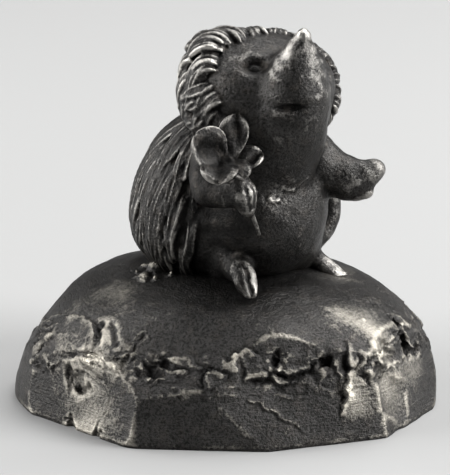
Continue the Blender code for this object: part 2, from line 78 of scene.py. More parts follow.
# How finely each step of the modelling is meshed, in metres, and how many times it is softened
CORE_VOXEL = 0.00026
FIGURE_VOXEL = 0.000125
WORN_ROCK_VOXEL = 0.00055
ROCK_VOXEL = 0.00017
TORSO_SOFTENING = 45
CORE_SOFTENING = 10
FIGURE_SOFTENING = 1
WORN_ROCK_SOFTENING = 26
ROCK_SOFTENING = 3
PIECE_TRIANGLES = 195000

MM = 0.001

# The hedgehog's forms are given in hundredths of its height: forward, left and up from its seat
UNIT = FIGURE_HEIGHT / 100
HEAD_CENTRE = (7.9, 0.0, 68.7)
HEAD_RADII = (24.5, 29.2, 21.8)
FACE_CENTRE = (15.5, 0.0, 64.0)
FACE_RADII = (18.5, 23.5, 17.5)
SNOUT_BASE = (26.5, 0.0, 65.5)
SNOUT_TIP = (35.8, 0.0, 95.6)
EYE = (22.5, 11.9, 83.2)
EYE_RADII = (4.7, 3.1)
EYE_DEPTH = 2.5
EYE_BALL = 1.2
CROWN_CENTRE = (1, -14, 80.5)
CROWN_RADII = (11, 11, 10.5)
PELT_CENTRE = (-11.0, 0.0, 18.0)
PELT_RADII = (32.5, 37.0, 41.0)
PELT_LOW_RADIUS = 26.0
BELLY_CENTRE = (6.8, 0.0, 24.7)
BELLY_RADII = (26.5, 26.0, 27.0)
CHEST_CENTRE = (10.0, 0.0, 45.0)
CHEST_RADII = (20.0, 21.0, 18.0)
FLANK_CENTRE = (6.0, 13.0, 12.0)
FLANK_RADII = (17.0, 12.0, 16.0)
NECK_CENTRE = (13.0, 0.0, 52.0)
NECK_RADII = (20.5, 20.5, 18.0)

# The limbs: the places that each runs through, and its radii along the way. The right arm ends in
# a paw around the flower's stem, and the left arm in an open paw.
ARMS = (
    (((11, -22, 46), (20, -30, 40), (28, -28, 39.5)), (9, 6.6, 5.4)),
    (((24, -29, 39.5), (29.5, -26.5, 41)), (5.6, 5)),
    (((31, -24.8, 44.8), (33, -23.8, 39.6), (33.8, -22.8, 34.6)), (4.4, 5.6, 3.4)),
    (((11, 14, 47), (18, 23, 38), (24, 29, 35)), (11.5, 9, 8)),
    (((24, 29, 35.5), (28, 33.5, 37), (29.5, 36.5, 38.6)), (7, 5.8, 4.6)),
    (((24, 28, 32), (27.5, 30.8, 31), (29.5, 32.6, 31)), (5.5, 4.2, 3.2)),
)
# The right foot ends in two long toes, and the left foot is thin and splayed outwards
FEET = (
    (((15, -15, 7), (25, -19.4, 8), (31, -21, 4.5)), (6.5, 5, 3.8)),
    (((25, -21.6, 9.2), (30.6, -23, 6), (34.2, -22.4, 1.9)), (3, 2.7, 1.7)),
    (((24.5, -18.6, 10), (29.8, -18.6, 7.2), (34.6, -20.4, 1.9)), (3, 2.8, 1.8)),
    (((8, 13, 8), (13, 18.4, 4.4), (19, 22.5, 0.6), (24, 24.6, -2.6)), (5.5, 4.2, 3.5, 2.7)),
    (((20.5, 22.2, 0.6), (25.4, 23.6, -3)), (2.1, 1.6)),
    (((20.5, 24.2, 0.6), (25.4, 27.2, -3)), (2.1, 1.6)),
)
# The edge of the quills on the left flank, which stands out from the belly as a fold
CAPE = (
    ((8, 28, 34), (9, 30, 27), (9.5, 31, 19.5), (10.5, 28, 13), (11.5, 22, 7.5)),
    (3.5, 4, 4.2, 4, 3.5),
)


def at(forward, left, up):
    """A point of the hedgehog, in its own frame: it faces -Y there."""
    return Vector((left, -forward, up)) * UNIT


def new_object(name, data):
    item = bpy.data.objects.new(name, data)
    bpy.context.scene.collection.objects.link(item)
    return item


def mesh_of(clay, name):
    mesh = bpy.data.meshes.new(name)
    clay.to_mesh(mesh)
    clay.free()
    return mesh


def evaluated(item):
    """The object's mesh with its modifiers applied. The object is removed."""
    bpy.context.view_layer.update()
    graph = bpy.context.evaluated_depsgraph_get()
    mesh = bpy.data.meshes.new_from_object(item.evaluated_get(graph))
    bpy.data.objects.remove(item)
    return mesh


def fused(mesh, voxel, softening):
    """One closed skin over every form in the mesh, softened that many times."""
    item = new_object("clay", mesh)
    remesh = item.modifiers.new("Fuse", "REMESH")
    remesh.mode = "VOXEL"
    remesh.voxel_size = voxel
    smooth = item.modifiers.new("Soften", "SMOOTH")
    smooth.factor = 0.5
    smooth.iterations = softening
    return evaluated(item)


def reduced(mesh, triangles):
    """The mesh with at most about that many triangles, and none of them broken."""
    item = new_object("clay", mesh)
    item.modifiers.new("Triangles", "TRIANGULATE")
    mesh.calc_loop_triangles()
    fewer = item.modifiers.new("Fewer", "DECIMATE")
    fewer.ratio = min(1.0, triangles / len(mesh.loop_triangles))
    mesh = evaluated(item)
    mesh.validate()
    return mesh


def clay_of(mesh):
    clay = bmesh.new()
    clay.from_mesh(mesh)
    return clay


# Where a dent's reach is cut off, as a share of its size
FAR_REACH = 9.0


class Skin:
    """A mesh's points and normals as arrays, for pressing and raising its surface."""

    def __init__(self, mesh):
        self.mesh = mesh
        count = len(mesh.vertices) * 3
        self.points = np.empty(count)
        mesh.vertices.foreach_get("co", self.points)
        self.points = self.points.reshape(-1, 3)
        self.read_normals()

    def read_normals(self):
        normals = np.empty(len(self.points) * 3)
        self.mesh.vertex_normals.foreach_get("vector", normals)
        self.normals = normals.reshape(-1, 3)

    def raise_by(self, amounts):
        """Moves each point along its normal by its amount in metres, and takes new normals."""
        self.points = self.points + self.normals * amounts[:, None]
        self.mesh.vertices.foreach_set("co", self.points.ravel())
        self.mesh.update()
        self.read_normals()

    def local(self, place):
        """Every point as (across, along, out) from the skin's point nearest to a place, where
        along runs straight up the surface."""
        nearest = np.argmin(np.sum((self.points - np.array(place)) ** 2, axis=1))
        out = self.normals[nearest]
        along = np.array((0.0, 0.0, 1.0)) - out * out[2]
        along /= np.linalg.norm(along)
        across = np.cross(along, out)
        away = self.points - self.points[nearest]
        return away @ across, away @ along, away @ out

    def reach(self, place, half_width, half_height):
        """Each point's distance from a place, as a share of an ellipse around it."""
        across, along, out = self.local(place)
        flat = np.sqrt((across / half_width) ** 2 + (along / half_height) ** 2)
        deep = np.abs(out) > 2.0 * max(half_width, half_height)
        return np.minimum(np.where(deep, FAR_REACH, flat), FAR_REACH)

    def dent(self, place, half_width, half_height, depth, sharp, uneven=0.0):
        """Presses a hollow, or raises a bump where depth is negative."""
        reach = self.reach(place, half_width, half_height)
        near = reach < 3
        size = max(half_width, half_height)
        reach[near] *= 1 + uneven * noise_at(self.points[near], 0.8 * size, 16)
        self.raise_by(-depth * np.exp(-0.9 * reach ** (2 * sharp)))

    def onto(self, path):
        """The skin's point nearest to each point of a path."""
        return [self.points[np.argmin(np.sum((self.points - np.array(p)) ** 2, axis=1))] for p in path]

    def line_distance(self, path):
        """Each point's distance from a chain of straight stretches."""
        return near_line(self.points, path)[0]


def near_line(points, path):
    """For each point: its distance from a path, the stretch nearest to it, and its share of the
    whole path there."""
    best = np.full(len(points), 1.0)
    which = np.zeros(len(points), int)
    share = np.zeros(len(points))
    for i, (a, b) in enumerate(zip(path, path[1:])):
        step = b - a
        t = np.clip((points - a) @ step / max(step @ step, 1e-12), 0, 1)
        away = np.linalg.norm(points - a - t[:, None] * step, axis=1)
        closer = away < best
        best[closer] = away[closer]
        which[closer] = i
        share[closer] = (i + t[closer]) / (len(path) - 1)
    return best, which, share


def noise_at(points, scale, seed):
    """Smooth noise from about -1 to 1 at each point, with features of about that scale."""
    places = points / scale + seed * np.array([3.1, 5.7, 9.3])
    return np.fromiter((noise.noise(Vector(p)) for p in places), float, len(places))


def smooth_step(low, high, values):
    t = np.clip((values - low) / (high - low), 0, 1)
    return t * t * (3 - 2 * t)


# The hedgehog's kinds of form: balls, tapering sweeps and limbs


def ellipsoid(clay, centre, radii, low_radius=None, detail=4):
    """Adds a ball with the radii forward, left and up. A low radius makes it an egg."""
    made = bmesh.ops.create_icosphere(clay, subdivisions=detail, radius=1.0)
    sizes = (radii[1] * UNIT, radii[0] * UNIT, radii[2] * UNIT)
    for vertex in made["verts"]:
        x, y, z = vertex.co
        height = low_radius * UNIT if low_radius and z < 0 else sizes[2]
        vertex.co = at(*centre) + Vector((x * sizes[0], y * sizes[1], z * height))


def sweep(clay, path, widths, heights, rises, sides):
    """Adds a closed form along a path: at each point an ellipse of that half-width and
    half-height, whose height lies along the point's rise."""
    rings = []
    last = len(path) - 1
    for i, point in enumerate(path):
        ahead = (path[min(i + 1, last)] - path[max(i - 1, 0)]).normalized()
        rise = (rises[i] - ahead * rises[i].dot(ahead)).normalized()
        side = ahead.cross(rise)
        ring = []
        for k in range(sides):
            angle = math.tau * k / sides
            offset = side * (widths[i] * math.cos(angle)) + rise * (heights[i] * math.sin(angle))
            ring.append(clay.verts.new(point + offset))
        rings.append(ring)
    for near, far in zip(rings, rings[1:]):
        for k in range(sides):
            after = (k + 1) % sides
            clay.faces.new((near[k], near[after], far[after], far[k]))
    clay.faces.new(list(reversed(rings[0])))
    clay.faces.new(rings[-1])


def smooth_path(points, count):
    """That many points along a Catmull-Rom curve through the points."""
    ends = [points[0] * 2 - points[1], *points, points[-1] * 2 - points[-2]]
    path = []
    for i in range(count):
        place = (len(points) - 1) * i / (count - 1)
        k = min(int(place), len(points) - 2)
        t = place - k
        a, b, c, d = ends[k : k + 4]
        bend = (c - a) * t + (2 * a - 5 * b + 4 * c - d) * t**2 + (3 * b - a - 3 * c + d) * t**3
        path.append(0.5 * (2 * b + bend))
    return path


def limb(clay, points, radii, sides=24):
    """Adds a rounded limb with domed ends through the points."""
    count = 6 * len(points)
    path = smooth_path([at(*p) for p in points], count)
    places = np.linspace(0, len(radii) - 1, count)
    widths = np.interp(places, range(len(radii)), radii) * UNIT
    start = path[0] - path[1]
    finish = path[-1] - path[-2]
    shares = (0.99, 0.92, 0.78, 0.5, 0.25)
    head = [path[0] + start.normalized() * widths[0] * s for s in shares]
    tail = [path[-1] + finish.normalized() * widths[-1] * s for s in reversed(shares)]
    shrink = [math.sqrt(1 - s * s) for s in shares]
    path = head + path + tail
    widths = np.concatenate([widths[0] * np.array(shrink), widths, widths[-1] * np.array(shrink[::-1])])
    sweep(clay, path, widths, widths, [Vector((0, 0, 1))] * len(path), sides)


# The hedgehog


def torso_forms(clay):
    """Head, crown, face, neck, chest, belly, flanks and the swell under the quills."""
    ellipsoid(clay, HEAD_CENTRE, HEAD_RADII)
    ellipsoid(clay, CROWN_CENTRE, CROWN_RADII)
    ellipsoid(clay, FACE_CENTRE, FACE_RADII)
    ellipsoid(clay, NECK_CENTRE, NECK_RADII)
    ellipsoid(clay, CHEST_CENTRE, CHEST_RADII)
    ellipsoid(clay, BELLY_CENTRE, BELLY_RADII)
    ellipsoid(clay, PELT_CENTRE, PELT_RADII, PELT_LOW_RADIUS)
    for side in (-1, 1):
        forward, left, up = FLANK_CENTRE
        ellipsoid(clay, (forward, side * left, up), FLANK_RADII)
    snout_form(clay)


# The snout's and throat's places and radii, from the nose down into the chest
SNOUT_PROFILE = ((0.5, 3.0), (2.5, 4.3), (6.7, 6.7), (10, 8.6), (14, 10.8), (19, 13.0), (25, 14.4))
NOSE_RADIUS = 3.2
THROAT = (((25.5, 0.0, 63.5), 15.4), ((21.0, 0.0, 55.0), 16.6), ((16.0, 0.0, 47.0), 17.0))


def snout_form(clay):
    """A snout that widens from a small round nose, and turns down into the throat."""
    axis = (at(*SNOUT_TIP) - at(*SNOUT_BASE)).normalized()
    path = [at(*SNOUT_TIP) - axis * back * UNIT for back, _ in SNOUT_PROFILE]
    path += [at(*place) for place, _ in THROAT]
    radii = [radius * UNIT for _, radius in SNOUT_PROFILE + THROAT]
    sweep(clay, path, radii, radii, [Vector((1, 0, 0))] * len(path), sides=36)
    made = bmesh.ops.create_icosphere(clay, subdivisions=3, radius=NOSE_RADIUS * UNIT)
    for vertex in made["verts"]:
        vertex.co += at(*SNOUT_TIP)


class Pelt:
    """A quilled surface: an egg whose quills flow along meridians away from a pole."""

    def __init__(self, centre, radii, pole, low_radius=None, tufts=()):
        self.centre = at(*centre)
        self.radii = (radii[1] * UNIT, radii[0] * UNIT, radii[2] * UNIT)
        self.low = low_radius * UNIT if low_radius else self.radii[2]
        self.tufts = [(at(*place), radius * UNIT, height * UNIT) for place, radius, height in tufts]
        self.pole = pole
        front = Vector((0, -1, 0))
        self.ahead = (front - self.pole * front.dot(self.pole)).normalized()
        self.side = self.pole.cross(self.ahead)

    def surface(self, around, away):
        """The point and normal at an angle around the pole, from the front, and away from it."""
        ring = self.ahead * math.cos(around) + self.side * math.sin(around)
        unit = self.pole * math.cos(away) + ring * math.sin(away)
        height = self.low if unit.z < 0 else self.radii[2]
        sizes = Vector((self.radii[0], self.radii[1], height))
        point = self.centre + Vector(u * s for u, s in zip(unit, sizes))
        normal = Vector(u / s for u, s in zip(unit, sizes)).normalized()
        for place, radius, height in self.tufts:
            point = point + normal * height * math.exp(-(((point - place).length / radius) ** 2))
        return point, normal


def lock(clay, pelt, dice, around, away, length, width, height, lift, bend):
    """Adds a lock of quills: a tapering swell that carries a bundle of wavy strands."""
    steps = 11
    strands = 4
    spine = []
    for i in range(steps + 1):
        t = i / steps
        point, normal = pelt.surface(around + bend * t * t, away + length * t)
        swell = math.sin(math.pi * min(1.0, 0.12 + 0.88 * t**0.85)) ** 0.7
        rise = lift * t**2 - 2.0 * max(0.0, 1 - t / 0.30) ** 2
        spine.append((point + normal * UNIT * rise, normal, swell))
    path = [point - normal * 0.5 * height * UNIT for point, normal, _ in spine]
    rises = [normal for _, normal, _ in spine]
    widths = [max(0.12, 0.9 * width * swell) * UNIT for _, _, swell in spine]
    heights = [max(0.12, height * swell) * UNIT for _, _, swell in spine]
    sweep(clay, path, widths, heights, rises, sides=8)
    for k in range(strands):
        offset = (2 * k + 1) / strands - 1
        wave = dice.uniform(0, math.tau)
        tall = dice.uniform(0.7, 1.25)
        begin = dice.choice((0, 0, 1))
        reach = steps - dice.choice((0, 0, 1, 2))
        path, widths, heights, rises = [], [], [], []
        for i in range(begin, reach + 1):
            t = (i - begin) / (reach - begin)
            point, normal, swell = spine[i]
            ahead = spine[min(i + 1, steps)][0] - spine[max(i - 1, 0)][0]
            side = ahead.cross(normal).normalized()
            sway = 0.5 * math.sin(wave + 5.0 * t)
            spread = width * offset * (0.95 - 0.6 * t) + sway
            crown = height * (0.5 * swell * math.sqrt(1 - offset * offset * 0.8) - 0.1)
            taper = (math.sin(math.pi * min(1.0, 0.1 + 0.9 * t**0.8))) ** 0.6
            path.append(point + side * spread * UNIT + normal * crown * UNIT)
            widths.append(max(0.1, 0.25 * width * taper) * UNIT)
            heights.append(max(0.1, 1.35 * tall * taper) * UNIT)
            rises.append(normal)
        sweep(clay, path, widths, heights, rises, sides=8)


# The quills on the back and on the head: the rows, the locks in a row, and in degrees how far
# around from the front the first row begins, how far it starts from the back's pole or from the
# hairline, how far apart the rows are, and how long a lock is
BACK_QUILLS = (6, 24, 57, 22, 18.5, 40)
HEAD_QUILLS = (5, 22, 44, -3, 15, 27)
BACK_POLE = (0.12, 0, 1)

# Where the head's quills stand fuller: the place, the radius and the height
TUFTS = (((1, -17, 85), 11, 5.6), ((6, 27, 70), 13, 1.8))


def lock_places(dice, rows, count):
    """Each lock's row and its share of the way around, where the rows are staggered."""
    for row in range(rows):
        for i in range(count):
            yield row, (i + 0.5 * (row % 2) + 0.3 * dice.uniform(-1, 1)) / count


def quill_locks(clay):
    """Rows of locks down the back and flanks, and over the head from the hairline to the nape."""
    dice = random.Random(4)
    back = Pelt(PELT_CENTRE, PELT_RADII, at(*BACK_POLE).normalized(), PELT_LOW_RADIUS)
    rows, count, front, start, apart, long = BACK_QUILLS
    for row, share in lock_places(dice, rows, count):
        border = front - 2.5 * row
        around = math.radians(border + (360 - 2 * border) * share)
        away = math.radians(start + apart * row + dice.uniform(-5, 5))
        length = math.radians(long + dice.uniform(-6, 7))
        inside = smooth_step(0.0, 0.12, min(share, 1 - share))
        width, height, lift = 2.6 + 1.6 * inside, 1.2 + 0.5 * inside, 1.4 + 1.0 * inside
        lock(clay, back, dice, around, away, length, width, height, lift, dice.uniform(-0.10, 0.10))
    head = Pelt(HEAD_CENTRE, HEAD_RADII, face_axis(), tufts=TUFTS)
    rows, count, front, start, apart, long = HEAD_QUILLS
    for row, share in lock_places(dice, rows, count):
        around = math.radians(front + (360 - 2 * front) * share)
        spread = 8 if row == 0 else 4
        away = hairline(around) + math.radians(apart * row + start + dice.uniform(-spread, 4))
        length = math.radians(long + dice.uniform(-5, 6) + 4 * (row == 0))
        width, height, lift = (dice.uniform(2.8, 5.0), 1.1, 1.4) if row == 0 else (3.8, 1.4, 2.3)
        bend = dice.uniform(-0.35, 0.35) if row == 0 else dice.uniform(-0.2, 0.2)
        lock(clay, head, dice, around, away, length, width, height, lift, bend)


def face_axis():
    """The way the face looks out of the head's quills."""
    return at(0.64, 0, 0.77).normalized()


def hairline(around):
    """How far from the face's axis the head's quills begin: close above, far at the jaws."""
    top = math.radians(47)
    jaw = math.radians(82)
    return top + (jaw - top) * (0.5 + 0.5 * math.cos(around)) ** 0.8


# The flower: its throat, the balls at its heart, its stem, and each petal's tip, half-width, sag
# and the way it faces. A petal with a negative sag droops.
FLOWER_THROAT = (29.5, -28.5, 50.5)
FLOWER_BALLS = (
    (FLOWER_THROAT, (4.4, 4.8, 4.0), 3),
    ((31.4, -28.4, 52.8), (1.9, 1.9, 1.9), 3),
    ((34.6, -29.6, 50.4), (1.2, 1.2, 1.2), 2),
    ((36.2, -31.8, 47.6), (1.7, 2.2, 1.8), 2),
)
STEM = (
    (
        (30.5, -27, 47), (32.5, -23.5, 40), (33.8, -21, 33), (33.4, -18.6, 28),
        (32.9, -16.8, 23.6),
    ),
    (3, 2.2, 1, 0.8, 0.75),
)
PETALS = (
    ((27.4, -40.6, 63.4), 8.2, 3, (0.85, -0.15, 0.45)),
    ((24.6, -20.8, 67.2), 5.6, 2, (0.8, -0.52, 0.15)),
    ((32.4, -14.8, 53.8), 5.4, 2, (0.5, -0.2, 0.8)),
    ((37, -26, 46.6), 5.4, -3.4, (0.2, -0.1, 0.97)),
    ((35.8, -37.4, 46.2), 7, -3.6, (0.2, -0.1, 0.97)),
)


def petal(clay, root, tip, facing, width, sag):
    """Adds a rounded petal from root to tip, cupped the way that it faces and thin at its edge."""
    steps = 16
    sides = 14
    widest = 0.55
    middle = (root + tip) / 2 - facing * sag * UNIT
    skins = ([], [])
    for i in range(steps + 1):
        t = i / steps
        point = root * (1 - t) ** 2 + middle * 2 * t * (1 - t) + tip * t**2
        ahead = ((middle - root) * (1 - t) + (tip - middle) * t).normalized()
        rise = (facing - ahead * facing.dot(ahead)).normalized()
        side = ahead.cross(rise)
        if t < widest:
            half = width * (0.4 + 0.6 * math.sin(0.5 * math.pi * t / widest))
        else:
            half = width * max(0.04, 1 - ((t - widest) / (1 - widest)) ** 2.3) ** 0.5
        for sign, skin in zip((1, -1), skins):
            line = []
            for k in range(sides + 1):
                share = 2 * k / sides - 1
                cup = 0.34 * half * share**2 + 0.45 * math.sin(4.5 * share + 6 * t + width)
                edge = max(abs(share), 2.2 * t - 1.2)
                thick = 1.3 - 1.15 * smooth_step(0.70, 1.0, edge)
                place = point + (side * half * share + rise * (cup + sign * thick)) * UNIT
                line.append(clay.verts.new(place))
            skin.append(line)
    for sign, skin in zip((1, -1), skins):
        for near, far in zip(skin, skin[1:]):
            for k in range(sides):
                ring = (near[k], near[k + 1], far[k + 1], far[k])
                clay.faces.new(ring if sign > 0 else ring[::-1])
    upper, lower = (border_of(skin) for skin in skins)
    for k in range(len(upper)):
        after = (k + 1) % len(upper)
        clay.faces.new((upper[after], upper[k], lower[k], lower[after]))


def border_of(grid):
    """The points around a grid's edge, in order."""
    right = [line[-1] for line in grid[1:-1]]
    left = [line[0] for line in grid[1:-1]][::-1]
    return grid[0] + right + grid[-1][::-1] + left


def flower_forms(clay):
    """An open flower of five petals in the right paw, with a boss at its heart and a thin stem
    that comes out below the paw."""
    throat = at(*FLOWER_THROAT)
    for place, width, sag, facing in PETALS:
        tip = at(*place)
        petal(clay, throat.lerp(tip, 0.12), tip, at(*facing).normalized(), width, sag)
    for place, radii, detail in FLOWER_BALLS:
        ellipsoid(clay, place, radii, detail=detail)
    limb(clay, *STEM, sides=12)


# The mouth: its slit, the slit's left end and the lip below. Each has a place, half-width,
# half-height, depth and how steep its sides are.
MOUTH = (
    ((39, -8, 71), 3.8, 1.3, 1.9, 1.3),
    ((39, -4.5, 71.6), 2.2, 0.8, 0.7, 1.2),
    ((38, -8, 67), 6, 2.4, -0.5, 1),
)


def face_carving(skin):
    """Sunken eyes, each with a ball in it, and the small mouth."""
    half_width, half_height = (radius * UNIT for radius in EYE_RADII)
    for side in (-1, 1):
        reach = skin.reach(at(EYE[0], side * EYE[1], EYE[2]), half_width, half_height)
        hollow = EYE_DEPTH * np.exp(-(reach**3.0))
        ball = EYE_BALL * np.exp(-((reach / 0.42) ** 4))
        skin.raise_by((ball - hollow) * UNIT)
    for place, half_width, half_height, depth, sharp in MOUTH:
        skin.dent(at(*place), half_width * UNIT, half_height * UNIT, depth * UNIT, sharp)


# The fold where the chest lies over the belly
BELLY_CREASE = (
    (34, -22, 40.3), (34, -17, 39.6), (34, -13, 38.2), (34, -9, 35.8),
    (34, -5.5, 37.4), (33.5, -1, 37), (33, 4, 39.4), (32.5, 6.5, 40.2),
)


def belly_crease(skin):
    """A wavy fold with a shallow groove beside it, which fades in and out."""
    path = smooth_path([at(*p) for p in BELLY_CREASE], 40)
    path = [p + Vector((0, 0, 1.1 * UNIT * noise.noise(p / (1.2 * UNIT)))) for p in path]
    away = skin.line_distance(skin.onto(path)) / UNIT
    fold = 0.5 * np.exp(-((away / 0.35) ** 2)) - 0.4 * np.exp(-(((away - 0.95) / 0.45) ** 2))
    skin.raise_by(fold * (0.8 + 0.7 * noise_at(skin.points, 2.5 * UNIT, 17)) * UNIT)


# The grooves between the right foot's toes and between the fingers around the stem: the depth, the
# width, how many points it is drawn with, and the places that it runs through
GROOVES = (
    (1.1, 0.75, 16, ((28, -20.6, 12), (31.5, -21, 9.5), (35, -21.6, 4.5), (36.5, -21.6, 1))),
    (0.7, 0.5, 14, ((37.4, -25.6, 44), (38.6, -24.6, 40), (37.6, -23.4, 35))),
    (0.7, 0.5, 14, ((37, -22, 44), (38, -21.4, 40), (37, -21.8, 36))),
)


def press_groove(skin, depth, width, count, path):
    line = skin.onto(smooth_path([at(*p) for p in path], count))
    skin.raise_by(-depth * UNIT * np.exp(-((skin.line_distance(line) / (width * UNIT)) ** 2)))


def hand_worked(skin):
    """The slight unevenness of a form that was modelled by hand."""
    broad = noise_at(skin.points, 9 * UNIT, 1)
    close = noise_at(skin.points, 3.6 * UNIT, 2)
    skin.raise_by((0.5 * broad + 0.28 * close) * 0.9 * UNIT)


def seat_matrix():
    """From the hedgehog's own frame to its seat on the rock."""
    place = Vector((SEAT_RIGHT, SEAT_BACK, ROCK_HEIGHT - SEAT_SINK))
    return Matrix.Translation(place) @ Matrix.Rotation(FACING, 4, "Z")


def figure_mesh(seat):
    """The hedgehog on its seat. Its torso is softened first, then again with its limbs, and the
    quills and the flower stay crisp."""
    clay = bmesh.new()
    torso_forms(clay)
    torso = fused(mesh_of(clay, "torso"), CORE_VOXEL, TORSO_SOFTENING)
    clay = clay_of(torso)
    snout_form(clay)
    for points, radii in (*ARMS, *FEET, CAPE):
        limb(clay, points, radii)
    core = fused(mesh_of(clay, "core"), CORE_VOXEL, CORE_SOFTENING)
    skin = Skin(core)
    hand_worked(skin)
    belly_crease(skin)
    face_carving(skin)
    for item in GROOVES:
        press_groove(skin, *item)
    clay = clay_of(core)
    quill_locks(clay)
    flower_forms(clay)
    mesh = fused(mesh_of(clay, "figure"), FIGURE_VOXEL, FIGURE_SOFTENING)
    mesh.transform(seat)
    return mesh


# The rock. Its outline at the floor: bearing from the front towards the right in degrees, and the
# radius as a share of half the width

OUTLINE = (
    (-180, 0.846), (-155, 0.855), (-130, 0.906), (-105, 0.966), (-84, 1.004), (-76, 0.983), (-68, 0.97),
    (-55, 0.923), (-40, 0.89), (-28, 0.893), (-8, 0.846), (13, 0.87), (19, 0.882), (33, 0.876),
    (44, 0.953), (51, 1.017), (63, 1.028), (71, 1.021), (85, 1), (105, 0.962), (130, 0.905),
    (155, 0.868), (180, 0.846),
)

# How full the rock's shoulder is, by bearing: the power in its profile
FULLNESS = ((-180, 4.4), (-130, 3.8), (-90, 1.9), (0, 3.0), (90, 2.9), (130, 3.2), (180, 4.4))

# Flat cuts in the rock: bearing, distance at the floor as a share of half the width, and lean
# from upright, both angles in degrees. The slopes are worn smooth and the facets stay crisp.
SLOPES = ((-12, 1.02, 42), (30, 1.19, 44), (-62, 1.17, 42))
FACETS = (
    (-43, 0.872, 13),
    (-4, 0.815, 9),
    (9, 0.85, 22),
    (18, 0.852, 15),
    (58, 0.975, 17),
    (126, 0.9, 24),
    (164, 0.845, 26),
    (-158, 0.85, 24),
    (-118, 0.935, 22),
)


def bearing(degrees):
    """A level direction, turned from the front towards the right."""
    angle = math.radians(degrees)
    return Vector((math.sin(angle), -math.cos(angle), 0))


def rock_radius(degrees, share):
    """The rock's radius at a bearing and a share of its height."""
    bearings, radii = zip(*OUTLINE)
    foot = np.interp(degrees, bearings, radii) * 0.5 * ROCK_WIDTH
    fullness = np.interp(degrees, *zip(*FULLNESS))
    return foot * max(0.0, 1 - max(0.0, share) ** fullness) ** 0.4


def rock_dome(clay):
    """A flat-topped dome, carried a little below the floor so that its underside is cut flat."""
    below = -0.15
    steps = 30
    sides = 120
    rings = []
    for i in range(steps):
        share = below + (1 - below) * math.sin(0.5 * math.pi * i / steps)
        ring = []
        for k in range(sides):
            degrees = -180 + 360 * k / sides
            level = bearing(degrees) * rock_radius(degrees, share)
            ring.append(clay.verts.new((level.x, level.y, ROCK_HEIGHT * share)))
        rings.append(ring)
    for low, high in zip(rings, rings[1:]):
        for k in range(sides):
            after = (k + 1) % sides
            clay.faces.new((low[k], low[after], high[after], high[k]))
    clay.faces.new(list(reversed(rings[0])))
    clay.faces.new(rings[-1])


def cut_away(clay, point, normal):
    """Cuts off what lies beyond a plane and closes the cut."""
    everything = clay.verts[:] + clay.edges[:] + clay.faces[:]
    cut = bmesh.ops.bisect_plane(
        clay, geom=everything, dist=1e-9, plane_co=point, plane_no=normal, clear_outer=True
    )
    edges = [item for item in cut["geom_cut"] if isinstance(item, bmesh.types.BMEdge)]
    bmesh.ops.contextual_create(clay, geom=edges)


def flat_cuts(clay, cuts):
    for degrees, distance, lean in cuts:
        level = bearing(degrees)
        tilt = math.radians(lean)
        normal = level * math.cos(tilt) + Vector((0, 0, math.sin(tilt)))
        cut_away(clay, level * distance * 0.5 * ROCK_WIDTH, normal)


# Hollows and, with a negative depth, knobs, in millimetres: the place, then half-width,
# half-height, depth and how steep its sides are
SCARS = (
    ((-16, -11.4, 5.2), 1, 0.8, 0.35, 1.8),
    ((-20.3, -5.4, 7.2), 0.8, 1.6, -0.5, 1.6),
    ((-7.7, -14.8, 7.2), 1.1, 0.8, 0.4, 1.6),
    ((-6.3, -15.1, 8.1), 0.8, 0.7, 0.35, 1.5),
    ((-4.7, -15.2, 8.6), 1.2, 0.6, -0.25, 1.5),
    ((5.6, -15.3, 8.4), 0.5, 0.7, 0.5, 1.5),
    ((10.1, -13.6, 7.8), 0.6, 0.5, 0.6, 1.5),
    ((14.6, -11, 8), 1, 1.6, -0.3, 1.3),
    ((17.8, -12.2, 3.4), 2.6, 2.7, 0.42, 2.4),
    ((16, -5.6, 12), 0.65, 0.45, 0.35, 1.5),
    ((18.6, -6.6, 10.2), 0.8, 0.7, 0.45, 1.5),
    ((19.3, -6.9, 7.8), 0.5, 1, 0.5, 1.6),
    ((20.6, -5.8, 6.6), 0.7, 0.6, 0.4, 1.5),
    ((-18.6, -14.2, 0.5), 0.5, 0.6, 0.6, 1.6),
    ((-13.9, -15.2, 0.3), 0.45, 0.5, 0.5, 1.6),
    ((-7.4, -0.8, 14.6), 1.2, 0.9, -1.1, 1.2),
    ((-9.2, -2, 14.2), 0.9, 0.7, -0.4, 1.2),
    ((19.5, 6.5, 8), 2, 1, 0.5, 1.6),
    ((13.5, 13, 9.5), 1.7, 1.1, 0.5, 1.6),
    ((-7.5, 16.5, 8), 1.8, 0.9, 0.5, 1.6),
    ((-15, 12.5, 6.5), 2.2, 0.7, 0.5, 1.6),
    ((-19.5, 6, 7.5), 1.3, 1.4, -0.4, 1.5),
)

